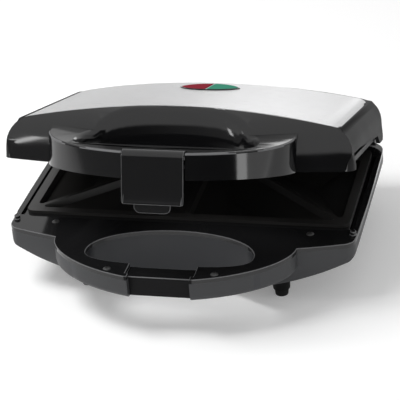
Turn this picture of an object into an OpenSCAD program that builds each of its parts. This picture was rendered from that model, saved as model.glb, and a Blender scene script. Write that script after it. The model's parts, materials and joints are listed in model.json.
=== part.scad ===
// Sandwich toaster: two moulded halves hinged at the back, each with a cast cooking plate.
// Modelled with the lower casing's deck at zero height and the plates' front edge at y = 0,
// then set on its feet with the origin under the middle.

/* [Casing] */
// Distance from the plates' side edges to the casing's widest line
side_margin = 7.5; // [7:0.25:9]
// How far each side bows outwards between its corners
side_bow = 1; // [0.5:0.25:2]
// Plan radius of the front corners
front_corner_r = 9; // [7:0.5:12]
// Radius of the bowed front, seen from above
bow_r = 355; // [330:5:400]
// How far the bowed front would reach ahead of the plates on the centre line
bow_reach = 40.5; // [38:0.5:44]
// Wall thickness of the mouldings
wall_t = 2.6; // [2.2:0.1:3]
// Depth of the lower casing below its deck, at the middle
belly_depth = 38; // [35:0.5:41]
// Radius of the arched underside, seen from the front
belly_r = 290; // [270:5:310]
// Radius of the lower casing's side edges
belly_edge_r = 9; // [7:0.5:11]
// Height of the lid above the deck plane, at the middle
lid_rise = 40.2; // [38:0.2:43]
// Radius of the arched lid, seen from the front
lid_arch_r = 532; // [480:4:600]
// Radius of the lid's side edges
lid_edge_r = 18; // [14:0.5:20]
// How far the lid's sides lean in before their edges
lid_lean = 2.5; // [1:0.25:4]
// Radius of the curve that both fronts fall away with
nose_r = 42; // [41.5:0.5:46]
// Radius of the lid's curve down to its rear wall
lid_rear_r = 27; // [20:1:30]
// Plan radius of the rear corners
rear_corner_r = 14; // [10:1:18]
// Height of the deck above the table
deck_h = 45; // [44:0.5:50]
// Gap between the deck and the lid's front edge when shut
shut_gap = 1.9; // [1.5:0.1:2.3]
// Thickness of the flat frames that carry the cooking plates
frame_t = 3; // [2.5:0.1:3.5]

/* [Handle] */
// Width of the D-shaped handle where it leaves the casing
handle_w = 166; // [156:2:172]
// How far the handle reaches ahead of its root
handle_reach = 50; // [47:0.5:54]
// Distance of the handle's root ahead of the plates
handle_root = 31; // [30:0.5:32]
// Height of the lid's handle bar
lid_bar_h = 17.5; // [16:0.5:20]
// Height of the lower casing's handle bar
base_bar_h = 16.5; // [15:0.5:19]
// Extra height of the lid's handle where it meets the casing
arm_lift = 5; // [2:0.5:7]
// Width of the finger gap
grip_w = 114; // [104:1:118]
// Widest line of the finger gap, ahead of the plates
grip_mid = 45; // [43:0.5:47]
// Depth of the finger gap behind its widest line
grip_rear = 30; // [27:0.5:32]
// Depth of the finger gap ahead of its widest line
grip_front = 16; // [14:0.5:17]
// Radius of the rounded rim round the lid's finger gap
rim_r = 5; // [2:0.5:6]

/* [Cooking plates] */
// Width of a plate
plate_w = 226; // [222:1:228]
// Depth of a plate
plate_d = 112.5; // [108:0.5:114]
// Height of the plate's rim above its frame
rim_h = 2.2; // [2:0.1:2.6]
// Gap between the two rims when shut
rim_gap = 0.3; // [0.2:0.1:0.6]
// Depth of a pocket below the rim
pocket_depth = 13; // [11:0.5:14]
// Thickness of the cast pocket walls
cast_t = 3; // [2.5:0.25:3.25]
// Width of the land between pockets and along the edges
land_w = 3; // [2.5:0.25:3.5]
// Plan radius of the plate's corners
plate_corner_r = 5; // [3:0.5:6]

/* [Latch] */
// Width of the latch flap
latch_w = 40.5; // [36:0.5:44]
// Side gap between the latch and the handle bar
latch_gap = 0.6; // [0.5:0.1:1]
// Thickness of the flap
flap_t = 2.4; // [2.2:0.1:2.8]
// Height of the latch pin above the deck plane, lid shut
latch_pin_z = 15.7; // [15.4:0.1:16]
// Radius of the barrel that turns on the pin
barrel_r = 4.8; // [4.5:0.1:5]
// Height of the flap below the deck plane, lid shut
flap_drop = 14; // [13.5:0.5:15]
// Radius of the latch pin
latch_pin_r = 1.2; // [1:0.1:1.4]

/* [Hinge] */
// Gap between the rear walls and the hinge barrels
hinge_gap = 0.6; // [0.5:0.1:1]
// Radius of the hinge barrels
hinge_r = 6; // [5.5:0.1:6.5]
// Radius of the hinge pins
hinge_pin_r = 2.5; // [2:0.1:2.8]
// Distance of the rear walls behind the plates
rear_reach = 17.7; // [16:0.1:20]
// How far the lid stands open
lid_open = 17.5; // [16:0.5:24]
// Radial clearance of a turning joint
turn_gap = 0.05; // [0.03:0.01:0.08]
// Clearance between pieces that sit side by side
fit_gap = 0.3; // [0.25:0.05:0.4]

/* [Hidden] */
$fn = 64;

// Places that follow from the driving sizes
half_w = plate_w / 2 + side_margin;
body_w = 2 * half_w;
bow_cy = bow_r - bow_reach;
rear_y = plate_d + rear_reach;
side_mid_y = (rear_y - handle_root) / 2;
hinge_y = rear_y + hinge_gap + hinge_r;
hinge_z = 0;
mirror_z = rim_h + rim_gap / 2;
front_y = -handle_root - handle_reach;
back_y = hinge_y + hinge_r;
handle_square = 1.75;
step_n = 7;
belly_rear_r = 20;
nose_start = 8;

// Lid: the steel cover's outline, the side vents and the lamp window
cover_t = 0.8;
cover_x = half_w - 12;
cover_y0 = -13;
cover_y1 = plate_d - 4.5;
cover_corner_r = 7;
vent_y0 = -11;
vent_y1 = plate_d - 16.5;
vent_z0 = 13.6;
vent_z1 = 7.6;
lens_y = plate_d - 28.5;
lens_r = 22;
lens_shift = 8;
lens_rise = 0.7;
bezel_w = 1.2;
lens_seat = 2;
divider_w = 1.2;
lid_screw_drop = 14;
lid_boss_xy = [[half_w - 32, -9], [half_w - 52.5, rear_y - 11]];
frame_top = 2 * mirror_z + frame_t;
lid_rib_xs = [0.25, 0.51, 0.78] * half_w;
lid_rib_z = 28;
lamp_r = 2.5;
lamp_z = 32.5;
lamp_top = 37;
holder_x = 20;
holder_d = 16;
holder_t = 1.5;

// The latch's pocket in both bars: its half width, and the planes behind it
pocket_x = latch_w / 2 + latch_gap;
latch_y = front_y + 5.4;
latch_back_y = latch_y + barrel_r + fit_gap;
notch_y = front_y + 7.5;
notch_step = 2.5;
lining_t = 1;
latch_face_y = front_y + 4.4;
seat_side = 5;
pin_seat = 2.2;
latch_corner_r = 1.2;
tab_w = 24;
hook_top = -base_bar_h - 0.8;
hook_h = 2.4;
lip_reach = 1.4;
hook_gap = 0.4;

// Middle of the footprint, between the lower bar's front beside the latch and the hinge
bar_front_y = -handle_root
    - handle_reach * pow(1 - pow(2 * pocket_x / handle_w, handle_square), 1 / handle_square);
origin_y = (bar_front_y + back_y) / 2;

// Feet and the screws above them, right half: front and rear
foot_x = half_w - 52.5;
foot_ys = [-14, rear_y - 11];
peg_r = 7;
peg_tip_r = 5.8;
pad_t = 5;
pad_r = 5;
screw_r = 1.75;
head_r = 3.4;
boss_r = 4.2;
boss_drop = 16;
head_rise = 9;
peg_h = 17;

// Small screws that hold the deck frame down, right half
deck_screw_xy = [[half_w - 32, -10.5], [36, -69.4]];
deck_boss_r = 3.2;
deck_screw_r = 1.3;
deck_head_r = 2.6;
deck_head_h = 1.2;
screw_len = 9;
deck_boss_depth = screw_len + 0.5;

// Deck: the ledge under the plate's rim, the side channels and the corner posts
ledge_w = 2.5;
rim_w = 3;
channel_y = -2;
post_r = 2;
post_h = 2.6;
post_y = -8;

// Inside the lower casing: ribs, underside slots, terminal block and cord inlet
rib_xs = [-0.375, 0, 0.375] * half_w;
bar_rib_xs = [30, 50];
rib_top_z = -27;
vent_xs = [18, 26, 34, 52, 60, 68];
vent_ys = [0.27, 0.71] * plate_d;
vent_w = 3;
vent_len = 28;
block_lo = [14, plate_d + 2, -24];
block_hi = [44, plate_d + 12, -12];
block_bore_r = 2.6;
block_bore_h = 4;
grommet_z = -12;
grommet_r = 5;
cord_bore_r = 3.5;
lead_r = 1.2;

// Pockets: the bay they share, the border step, the ledge inside it and the pyramid's tip
bay_border = cast_t + ledge_w + 0.5;
bay_x0 = land_w / 2;
bay_x1 = plate_w / 2 - bay_border;
bay_y0 = bay_border;
bay_y1 = plate_d - bay_border;
bay_a = bay_x1 - bay_x0;
bay_b = bay_y1 - bay_y0;
land_cut = 1 - land_w / 2 * norm([bay_a, bay_b]) / (bay_a * bay_b);
leg_a = bay_a * land_cut;
leg_b = bay_b * land_cut;
pocket_in_r = (leg_a + leg_b - norm([leg_a, leg_b])) / 2;
step_h = 5;
step_in = 1.2;
ledge_in = 3;
apex_w = 6;

// Below a plate: thermostat, heater, straps and reflector, each against the one above
thermostat_z = -11;
heater_r = 3.2;
heater_z = rim_h - pocket_depth - cast_t - heater_r - 0.1;
heater_x = plate_w / 2 - 43;
heater_bend_r = 21.75;
strap_t = 0.8;
strap_x = plate_w / 2 - 73;
strap_z = heater_z - heater_r - strap_t;
reflector_t = 0.6;
reflector_z = strap_z;
reflector_x = plate_w / 2 - 35;
plate_screw_r = 1.6;
plate_screw_edge = 13;
plate_screw_len = 9;
plate_boss_r = 4;
fuse_r = 2.2;
fuse_y = plate_d - 32;
fuse_len = 14;
fuse_wire = 4;
fuse_z = rim_h - step_h - cast_t - fuse_r - 0.6;

// Hinge: spans of the lower casing's two ears and the lid's knuckle, right half
ear_spans = [[half_w - 40.5, half_w - 32.5], [half_w - 16.5, half_w - 8.5]];
knuckle_span = [ear_spans[0][1] + fit_gap, ear_spans[1][0] - fit_gap];

// Points on an arc about c, with its two ends and without them
function arc(c, r, a0, a1, n) =
    [for (i = [0:n]) let (a = a0 + (a1 - a0) * i / n) c + r * [cos(a), sin(a)]];
function arc_within(c, r, a0, a1, n) =
    [for (i = [1:n - 1]) let (a = a0 + (a1 - a0) * i / n) c + r * [cos(a), sin(a)]];
function mirror_x(pts) = [for (i = [len(pts) - 1:-1:0]) [-pts[i][0], pts[i][1]]];
function signed_pow(v, p) = sign(v) * pow(abs(v), p);

// Front view of a half: an arch that turns down into its two sides, moved inwards by t.
// The sides lean in by tilt between the deck plane and their rounded edges.
function dome(rise, arch_r, edge_r, tilt, t) =
    let (edge_x = half_w - tilt - edge_r,
         lean = asin(edge_x / (arch_r - edge_r)),
         arch_c = [0, rise - arch_r],
         edge_c = [edge_x, arch_c[1] + (arch_r - edge_r) * cos(lean)],
         right = concat([[half_w - t, -deck_h], [half_w - t, 0]],
             arc(edge_c, edge_r - t, 0, 90 - lean, step_n)))
    concat(right, arc_within(arch_c, arch_r - t, 90 - lean, 90 + lean, 28), mirror_x(right));

// Plan view of a half, ahead of which the bowed front is cut, moved inwards by t
function side_x(y) = half_w - side_bow * pow((y - side_mid_y) / (rear_y - side_mid_y), 2);
function plan(t) =
    let (rf = front_corner_r,
         xf = half_w - side_bow - rf,
         yf = bow_cy - sqrt(pow(bow_r - rf, 2) - xf * xf),
         lean = asin(xf / (bow_r - rf)),
         yr = rear_y - rear_corner_r,
         right = concat(
             arc([xf, yf], rf - t, lean - 90, 0, 5),
             [for (i = [1:7]) let (y = yf + (yr - yf) * i / 8) [side_x(y) - t, y]],
             arc([side_x(yr) - rear_corner_r, yr], rear_corner_r - t, 0, 90, step_n)))
    concat([[0, -2 * bow_reach]], right, mirror_x(right));

// Outline of the D-shaped handle, from its left root round to its right one
function handle_outline(t, n) =
    concat([[t - handle_w / 2, -handle_root + 3 * wall_t]],
        [for (i = [0:n]) let (a = 180 * i / n)
            [-(handle_w / 2 - t) * signed_pow(cos(a), 2 / handle_square),
             -handle_root - (handle_reach - t) * pow(sin(a), 2 / handle_square)]],
        [[handle_w / 2 - t, -handle_root + 3 * wall_t]]);

// Outline of the finger gap: an ellipse behind its widest line, squarer ahead of it
function grip_outline(t, n) =
    [for (i = [0:n - 1]) let (a = 360 * i / n, p = a < 180 ? 1 : 0.7,
        d = a < 180 ? grip_rear : grip_front)
        [(grip_w / 2 + t) * signed_pow(cos(a), p), (d + t) * signed_pow(sin(a), p) - grip_mid]];

// Skin over stacked rings of points that all have the same count
module skin(rings) {
    n = len(rings[0]);
    m = len(rings);
    points = [for (ring = rings) for (p = ring) p];
    sides = [for (k = [0:m - 2]) for (i = [0:n - 1]) let (a = k * n + i, b = k * n + (i + 1) % n)
        for (f = [[a, b + n, b], [a, a + n, b + n]]) f];
    polyhedron(points, concat(sides,
        [[for (i = [0:n - 1]) i]],
        [[for (i = [n - 1:-1:0]) (m - 1) * n + i]]), convexity = 6);
}

module along_y(y0, y1) {
    translate([0, y1, 0]) rotate([90, 0, 0]) linear_extrude(y1 - y0) children();
}

module along_x(x0, x1) {
    translate([x0, 0, 0]) rotate([90, 0, 90]) linear_extrude(x1 - x0) children();
}

module box(lo, hi) {
    translate(lo) cube(hi - lo);
}

// Both sides of something modelled on the right
module both() {
    children();
    mirror([1, 0, 0]) children();
}

// The lower half's pieces turned over into the lid
module flipped() {
    translate([0, 0, 2 * mirror_z]) mirror([0, 0, 1]) children();
}

// One half's outer form, open edge down at z0, moved inwards by t
module half_form(rise, arch_r, edge_r, tilt, rear_r, nose_z, z0, t) {
    intersection() {
        along_y(-3 * bow_reach, rear_y + 1) polygon(dome(rise, arch_r, edge_r, tilt, t));
        translate([0, 0, z0]) linear_extrude(rise) polygon(plan(t));
        translate([0, bow_cy, 0]) rotate_extrude($fn = 180) polygon(concat(
            [[0, z0], [bow_r - t, z0]],
            arc([bow_r - nose_r, nose_z], nose_r - t, 0, 80, 9),
            [[0, nose_z + nose_r]]));
        along_x(-half_w - 1, half_w + 1) polygon(concat(
            [[-3 * bow_reach, z0], [rear_y - t, z0]],
            arc([rear_y - rear_r, rise - rear_r], rear_r - t, 0, 90, step_n),
            [[-3 * bow_reach, rise - t]]));
    }
}

// How far the lid's handle rises from its far edge towards the casing
function arm_rise(y) = arm_lift * pow((y - front_y) / handle_reach, 2);

module lid_body(t, z0) {
    half_form(lid_rise, lid_arch_r, lid_edge_r, lid_lean, lid_rear_r, shut_gap, z0, t);
}

module lid_bar(t, z0) {
    back_y = 3 * wall_t - handle_root;
    intersection() {
        translate([0, 0, z0]) linear_extrude(lid_rise) polygon(handle_outline(t, 48));
        along_x(-half_w, half_w) polygon(concat([[back_y, z0], [front_y, z0]],
            [for (k = [0:8]) let (y = front_y + (back_y - front_y) * k / 8)
                [y, shut_gap + lid_bar_h + arm_rise(y) - t]]));
    }
}

module base_body(t, z0) {
    mirror([0, 0, 1])
        half_form(belly_depth, belly_r, belly_edge_r, 0, belly_rear_r, nose_start, z0, t);
}

// The lower handle: a solid D from z0 down to a rounded far edge, moved inwards by t
module base_bar(t, z0) {
    z1 = base_bar_h - t;
    mirror([0, 0, 1]) skin([for (r = [[0, z0], [0, z1 - 4], [0.5, z1 - 2], [1.7, z1 - 0.6], [4, z1]])
        ring_at(handle_outline(t + r[0], 48), r[1])]);
}

module grip_hole(t) {
    translate([0, 0, -deck_h]) linear_extrude(2 * deck_h) polygon(grip_outline(t, 56));
}

// Height of the lid's upper side over a point ahead of the steel cover
function lid_height(x, y) =
    let (out = norm([x, y - bow_cy]) - (bow_r - nose_r),
         nose = out > 0 ? sqrt(max(0, nose_r * nose_r - out * out)) : nose_r,
         arch = lid_rise - lid_arch_r + sqrt(lid_arch_r * lid_arch_r - x * x))
    max(min(arch, shut_gap + nose), shut_gap + lid_bar_h + arm_rise(y));

// Cut that rounds the lid's edge round the finger gap, following the height beside it
module grip_rim() {
    function ring(t, drop) = [for (p = grip_outline(t, 56)) [p[0], p[1], lid_height(p[0], p[1]) - drop]];
    skin(concat([ring_at(grip_outline(-0.1, 56), shut_gap + 5)],
        [for (a = [0:18:90]) ring(rim_r * (1 - cos(a)) - 0.01, rim_r * (1 - sin(a)))],
        [ring_at(grip_outline(rim_r + 0.5, 56), 2 * lid_rise)]));
}

// A rectangle in plan with rounded corners, from (x0, y0) to (x1, y1)
module round_plate(x0, x1, y0, y1, r, h) {
    linear_extrude(h) polygon(concat(
        arc([x1 - r, y1 - r], r, 0, 90, 4), arc([x0 + r, y1 - r], r, 90, 180, 4),
        arc([x0 + r, y0 + r], r, 180, 270, 4), arc([x1 - r, y0 + r], r, 270, 360, 4)));
}

// Space ahead of the lower bar's recess that the latch hangs in, grown by t
module notch_block(t) {
    box([-pocket_x - t, front_y - 5, -deck_h], [pocket_x + t, notch_y + t, shut_gap]);
}

// The deck frame's apron that lines the back of the recess
module notch_lining() {
    box([-pocket_x, notch_y, -base_bar_h], [pocket_x, notch_y + lining_t, -frame_t]);
}

module step_block(z0, z1) {
    box([-pocket_x - 2, notch_y, z0], [pocket_x + 2, -grip_mid - grip_front + wall_t, z1]);
}

module at_feet() {
    for (y = foot_ys) both() translate([foot_x, y, 0]) children();
}

module at_deck_screws() {
    for (p = deck_screw_xy) both() translate([p[0], p[1], 0]) children();
}

module hinge_bar(span, r) {
    translate([span[0], hinge_y, hinge_z]) rotate([0, 90, 0])
        cylinder(r = r, h = span[1] - span[0]);
}

// Dark moulded bowl with the lower half of the handle, feet, ears for the hinge and bosses
module lower_casing() {
    color([0.27, 0.28, 0.29]) difference() {
        union() {
            base_body(0, frame_t);
            base_bar(0, frame_t);
            at_feet() translate([0, 0, pad_t - deck_h])
                cylinder(r1 = peg_tip_r, r2 = peg_r, h = peg_h);
            both() for (span = ear_spans) {
                hinge_bar(span, hinge_r);
                along_x(span[0], span[1]) polygon([[rear_y - 1, -16], [rear_y - 1, -frame_t],
                    [rear_y, -frame_t], [rear_y, 0], [hinge_y, 3], [hinge_y + 4, -4], [hinge_y, -9]]);
            }
        }
        difference() {
            union() {
                base_body(wall_t, frame_t - 1);
                base_bar(wall_t, frame_t - 1);
            }
            grip_hole(wall_t);
            notch_block(wall_t);
            at_feet() translate([0, 0, -deck_h])
                cylinder(r = boss_r, h = deck_h - frame_t - boss_drop);
            at_deck_screws() translate([0, 0, -deck_h]) cylinder(r = deck_boss_r, h = deck_h);
            box(block_lo - [2, 2, deck_h], [block_hi[0] + 2, block_hi[1] - 2, block_lo[2]]);
            for (x = rib_xs) box([x - 0.8, -deck_h, -deck_h], [x + 0.8, rear_y, rib_top_z]);
            for (x = bar_rib_xs) both()
                box([x - 0.8, front_y, -deck_h], [x + 0.8, -handle_root, -base_bar_h / 2]);
        }
        grip_hole(0);
        notch_block(0);
        notch_lining();
        step_block(-frame_t - notch_step, 0);
        at_feet() {
            translate([0, 0, -deck_h]) cylinder(r = screw_r + 0.3, h = deck_h);
            translate([0, 0, -deck_h]) cylinder(r = head_r + 0.4, h = head_rise);
        }
        at_deck_screws() translate([0, 0, -deck_boss_depth]) cylinder(r = deck_screw_r, h = deck_h);
        both() hinge_bar([ear_spans[0][0] + 1, ear_spans[1][1] - 1], hinge_pin_r);
        translate([0, rear_y, grommet_z]) rotate([90, 0, 0])
            cylinder(r = grommet_r, h = 2.5 * wall_t, center = true);
        for (x = vent_xs, y = vent_ys) both()
            box([x - vent_w / 2, y - vent_len / 2, -deck_h], [x + vent_w / 2, y + vent_len / 2, rib_top_z + 1]);
    }
}

// Glossy deck that closes the bowl and the handle, with a ledge that carries the plate
module deck_frame() {
    color([0.04, 0.04, 0.045]) difference() {
        union() {
            intersection() {
                union() {
                    base_body(0, 0);
                    base_bar(0, 0);
                }
                box([-body_w, front_y - 1, -frame_t], [body_w, rear_y + 1, 0]);
            }
            step_block(-frame_t - notch_step, -frame_t);
            notch_lining();
            at_feet() translate([0, 0, -frame_t - boss_drop]) cylinder(r = boss_r, h = boss_drop + 1);
            both() translate([half_w - side_bow - post_r - 0.5, post_y, -frame_t])
                cylinder(r = post_r, h = frame_t + post_h);
        }
        translate([0, 0, -2 * frame_t]) round_plate(ledge_w - plate_w / 2, plate_w / 2 - ledge_w,
            ledge_w, plate_d - ledge_w, plate_corner_r, 4 * frame_t);
        both() translate([0, 0, -2 * frame_t]) round_plate(plate_w / 2 + 2 * fit_gap,
            half_w - side_bow - rim_w, channel_y, plate_d - 4, 1.4, 4 * frame_t);
        grip_hole(0);
        notch_block(0);
        step_block(-notch_step, 1);
        at_feet() translate([0, 0, -deck_h]) cylinder(r = screw_r, h = deck_h - frame_t / 2);
        at_deck_screws() translate([0, 0, -deck_h]) cylinder(r = deck_screw_r + 0.1, h = 2 * deck_h);
    }
}

// Small round-headed screws on the deck
module deck_screws() {
    color([0.1, 0.1, 0.1]) at_deck_screws() {
        translate([0, 0, -screw_len]) cylinder(r = deck_screw_r, h = screw_len);
        difference() {
            intersection() {
                translate([0, 0, deck_head_h - 4]) sphere(r = 4);
                cylinder(r = deck_head_r, h = deck_head_h + 1);
            }
            for (a = [0, 90]) rotate(a) translate([-1.3, -0.25, deck_head_h - 0.5]) cube([2.6, 0.5, 1]);
        }
    }
}

module casing_screws() {
    color("silver") at_feet() translate([0, 0, head_rise - deck_h]) difference() {
        union() {
            cylinder(r = screw_r, h = deck_h - head_rise - frame_t - 4);
            translate([0, 0, -2.4]) cylinder(r = head_r, h = 2.4);
        }
        for (a = [0, 90]) rotate(a) translate([-2, -0.4, -3]) cube([4, 0.8, 1.8]);
    }
}

module rubber_feet() {
    color([0.03, 0.03, 0.03]) at_feet() translate([0, 0, -deck_h])
        cylinder(r1 = pad_r - 0.6, r2 = pad_r, h = pad_t);
}

module cord_grommet() {
    color([0.05, 0.05, 0.05]) translate([0, rear_y, grommet_z]) rotate([-90, 0, 0]) difference() {
        union() {
            cylinder(r = grommet_r + 1.8, h = 2);
            translate([0, 0, -wall_t]) cylinder(r = grommet_r, h = wall_t + 1);
            translate([0, 0, -wall_t - 1.5]) cylinder(r = grommet_r + 1, h = 1.5);
        }
        cylinder(r = cord_bore_r, h = 4 * wall_t, center = true);
    }
}

module hinge_pins() {
    color("silver") both() hinge_bar([ear_spans[0][0] + 1, ear_spans[1][1] - 1], hinge_pin_r);
}

// Triangle with its right angle at the origin and legs a and b, moved inwards by d, corners r
function tri(a, b, d, r) =
    let (in_r = (a + b - norm([a, b])) / 2,
         k = (in_r - d - r) / in_r,
         c = [in_r, in_r],
         slope = atan2(a, b))
    concat(arc(c - k * c, r, 180, 270, 3), arc(c + k * ([a, 0] - c), r, -90, slope, 3),
        arc(c + k * ([0, b] - c), r, slope, 180, 3));
function ring_at(pts, z) = [for (p = pts) [p[0], p[1], z]];

// One triangular pocket as a solid: a steep border step, a flat ledge and a shallow pyramid.
// w is the cast wall's thickness round it, top the height it is closed at.
module pocket(w, top) {
    z_apex = rim_h - pocket_depth - w;
    z_step = rim_h - step_h - w;
    skin([
        ring_at(tri(leg_a, leg_b, pocket_in_r - apex_w - w, 1), z_apex),
        ring_at(tri(leg_a, leg_b, step_in + ledge_in - w, 1), z_step - 0.8),
        ring_at(tri(leg_a, leg_b, step_in - w, 2), z_step),
        ring_at(tri(leg_a, leg_b, -w, 2), rim_h - w / 2),
        ring_at(tri(leg_a, leg_b, -w, 2), top)
    ]);
}

// The four pockets' places: two triangles in each bay, split from the outer front corner
module at_pockets() {
    both() {
        translate([bay_x0, bay_y0, 0]) children();
        translate([bay_x1, bay_y1, 0]) rotate(180) children();
    }
}

module at_plate_screws() {
    both() translate([(bay_x0 + bay_x1) / 2, plate_d / 2, 0]) children();
    for (y = [plate_screw_edge, plate_d - plate_screw_edge / 1.4]) translate([0, y, 0]) children();
}

// Cast aluminium plate with four fluted pockets, hollow underneath
module cooking_plate() {
    difference() {
        union() {
            round_plate(-plate_w / 2, plate_w / 2, 0, plate_d, plate_corner_r, rim_h);
            at_pockets() pocket(cast_t, rim_h - 0.4);
            at_plate_screws() translate([0, 0, reflector_z]) cylinder(r = plate_boss_r, h = -reflector_z);
            translate([0, plate_d / 2, thermostat_z]) cylinder(r = 9, h = -thermostat_z);
        }
        at_pockets() pocket(0, rim_h + 1);
        at_plate_screws() translate([0, 0, reflector_z - 1]) cylinder(r = plate_screw_r, h = plate_screw_len + 2);
    }
}

// Tubular heater bent to a long U against the pocket floors
module heater() {
    leg_x = heater_x - heater_bend_r;
    translate([0, plate_d / 2, heater_z]) {
        for (s = [-1, 1]) translate([-heater_x + heater_r, s * heater_bend_r, 0]) rotate([0, 90, 0])
            cylinder(r = heater_r, h = leg_x + heater_x - heater_r);
        translate([leg_x, 0, 0]) rotate(-90) rotate_extrude(angle = 180)
            translate([heater_bend_r, 0]) circle(heater_r);
        for (s = [-1, 1]) translate([-heater_x - 4, s * heater_bend_r, 0]) rotate([0, 90, 0])
            cylinder(r = 1.2, h = 8);
    }
}

module heater_straps() {
    for (s = [-1, 1]) translate([s * strap_x, plate_d / 2, strap_z]) difference() {
        translate([-5, -heater_bend_r - heater_r - 3, 0])
            cube([10, 2 * (heater_bend_r + heater_r + 3), strap_t]);
        translate([0, 0, -1]) cylinder(r = 2, h = 3);
    }
}

// Bright sheet below the heater that throws the heat back
module reflector() {
    difference() {
        translate([0, 0, reflector_z - reflector_t]) union() {
            round_plate(-reflector_x, reflector_x, 8, plate_d - 4, 6, reflector_t);
            for (y = [23, plate_d - 17]) translate([-reflector_x + 8, y - 3, 0])
                cube([2 * reflector_x - 16, 6, 2 * reflector_t]);
        }
        at_plate_screws() translate([0, 0, reflector_z - 3]) cylinder(r = plate_screw_r + 0.2, h = 5);
    }
}

module plate_screws() {
    at_plate_screws() translate([0, 0, reflector_z - reflector_t]) {
        cylinder(r = plate_screw_r, h = plate_screw_len);
        translate([0, 0, -plate_screw_r]) cylinder(r = 2 * plate_screw_r, h = plate_screw_r);
    }
}

module lower_plate() {
    color([0.1, 0.1, 0.1]) cooking_plate();
}

module upper_plate() {
    color([0.1, 0.1, 0.1]) lid_pose() flipped() cooking_plate();
}

module lower_heater() {
    color([0.35, 0.33, 0.32]) heater();
}

module upper_heater() {
    color([0.35, 0.33, 0.32]) lid_pose() flipped() heater();
}

module lower_heater_straps() {
    color("silver") heater_straps();
}

module upper_heater_straps() {
    color("silver") lid_pose() flipped() heater_straps();
}

module lower_reflector() {
    color("gainsboro") reflector();
}

module upper_reflector() {
    color("gainsboro") lid_pose() flipped() reflector();
}

module lower_plate_screws() {
    color("silver") plate_screws();
}

module upper_plate_screws() {
    color("silver") lid_pose() flipped() plate_screws();
}

// Bimetal disc thermostat under the middle of the plate
module thermostat() {
    color([0.75, 0.7, 0.6]) translate([0, plate_d / 2, thermostat_z]) mirror([0, 0, 1]) {
        cylinder(r = 8, h = 1.2);
        cylinder(r = 6.8, h = 6);
        for (s = [-1, 1]) translate([-1.6, s * 3.5 - 0.4, 5.5]) cube([3.2, 0.8, 3]);
    }
}

// Thermal cut-out in its sleeve, under the land between the bays
module thermal_fuse() {
    color([0.9, 0.88, 0.8]) translate([0, fuse_y, fuse_z]) rotate([-90, 0, 0]) {
        cylinder(r = fuse_r, h = fuse_len);
        translate([0, 0, -fuse_wire]) cylinder(r = 0.6, h = fuse_len + 2 * fuse_wire);
    }
}

module terminal_block() {
    color([0.93, 0.9, 0.84]) difference() {
        box(block_lo, block_hi);
        for (k = [1, 3, 5]) translate([block_lo[0] + (block_hi[0] - block_lo[0]) * k / 6,
            (block_lo[1] + block_hi[1]) / 2, block_hi[2] - block_bore_h])
            cylinder(r = block_bore_r, h = 2 * block_bore_h);
    }
}

// Insulated lead: a tube through its points, none of whose runs stands upright
function ring_round(c, along, r) =
    let (side = cross(along, [0, 0, 1]) / norm(cross(along, [0, 0, 1])),
         up = cross(side, along) / norm(along))
    [for (i = [0:7]) let (a = -45 * i) c + r * (cos(a) * side + sin(a) * up)];

module lead(pts) {
    last = len(pts) - 1;
    function way(i) = (pts[i + 1] - pts[i]) / norm(pts[i + 1] - pts[i]);
    skin([for (i = [0:last])
        ring_round(pts[i], (i > 0 ? way(i - 1) : [0, 0, 0]) + (i < last ? way(i) : [0, 0, 0]), lead_r)]);
}

module lower_leads() {
    end_x = -heater_x - 4 - lead_r;
    far_leg = plate_d / 2 + heater_bend_r;
    near_leg = plate_d / 2 - heater_bend_r;
    color([0.85, 0.85, 0.8]) {
        lead([[end_x, far_leg, heater_z], [end_x, plate_d - 2, heater_z],
            [0, plate_d, heater_z], [block_lo[0] - lead_r, plate_d + 6, -18]]);
        lead([[end_x, near_leg, heater_z], [end_x, near_leg + 12, heater_z],
            [-8.4, plate_d / 2 - 6, heater_z + 1]]);
        lead([[4, plate_d / 2 + 8.5, -13.5], [6.5, plate_d / 2 + 15, -10.5],
            [6.5, plate_d - 8, -10.5], [22, plate_d, -16], [24, block_lo[1] - lead_r, -18]]);
    }
}

module upper_leads() {
    end_x = -heater_x - 4 - lead_r;
    far_leg = plate_d / 2 + heater_bend_r;
    near_leg = plate_d / 2 - heater_bend_r;
    color([0.85, 0.85, 0.8]) lid_pose() flipped() {
        lead([[end_x, far_leg, heater_z], [end_x, plate_d - 4, heater_z],
            [-20, plate_d - 4, heater_z]]);
        lead([[end_x, near_leg, heater_z], [end_x - 6, near_leg + 6, heater_z],
            [end_x - 6, plate_d, heater_z], [-20, plate_d, heater_z]]);
    }
}

// Turns the shut lid to how far it stands open
module lid_pose() {
    translate([0, hinge_y, hinge_z]) rotate([-lid_open, 0, 0]) translate([0, -hinge_y, -hinge_z])
        children();
}

// Band of the lid's arch between two depths below its surface
module lid_layer(t0, t1) {
    difference() {
        along_y(-3 * bow_reach, rear_y) polygon(dome(lid_rise, lid_arch_r, lid_edge_r, lid_lean, t0));
        along_y(-4 * bow_reach, rear_y + 1) polygon(dome(lid_rise, lid_arch_r, lid_edge_r, lid_lean, t1));
    }
}

// Almond in plan, the overlap of two circles, grown by g
module almond(g) {
    translate([0, lens_y, 0]) intersection() {
        lens_disc(1, g);
        lens_disc(-1, g);
    }
}

module lens_disc(s, g) {
    translate([0, s * lens_shift, 0]) cylinder(r = lens_r + g, h = 2 * lid_rise);
}

module cover_outline(g) {
    round_plate(-cover_x - g, cover_x + g, cover_y0 - g, cover_y1 + g, cover_corner_r + g,
        2 * lid_rise);
}

module latch_seat() {
    box([-pocket_x - seat_side, front_y, -1], [pocket_x + seat_side, latch_back_y + wall_t, lid_rise]);
}

module at_lid_bosses() {
    for (p = lid_boss_xy) both() translate([p[0], p[1], 0]) children();
}

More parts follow.
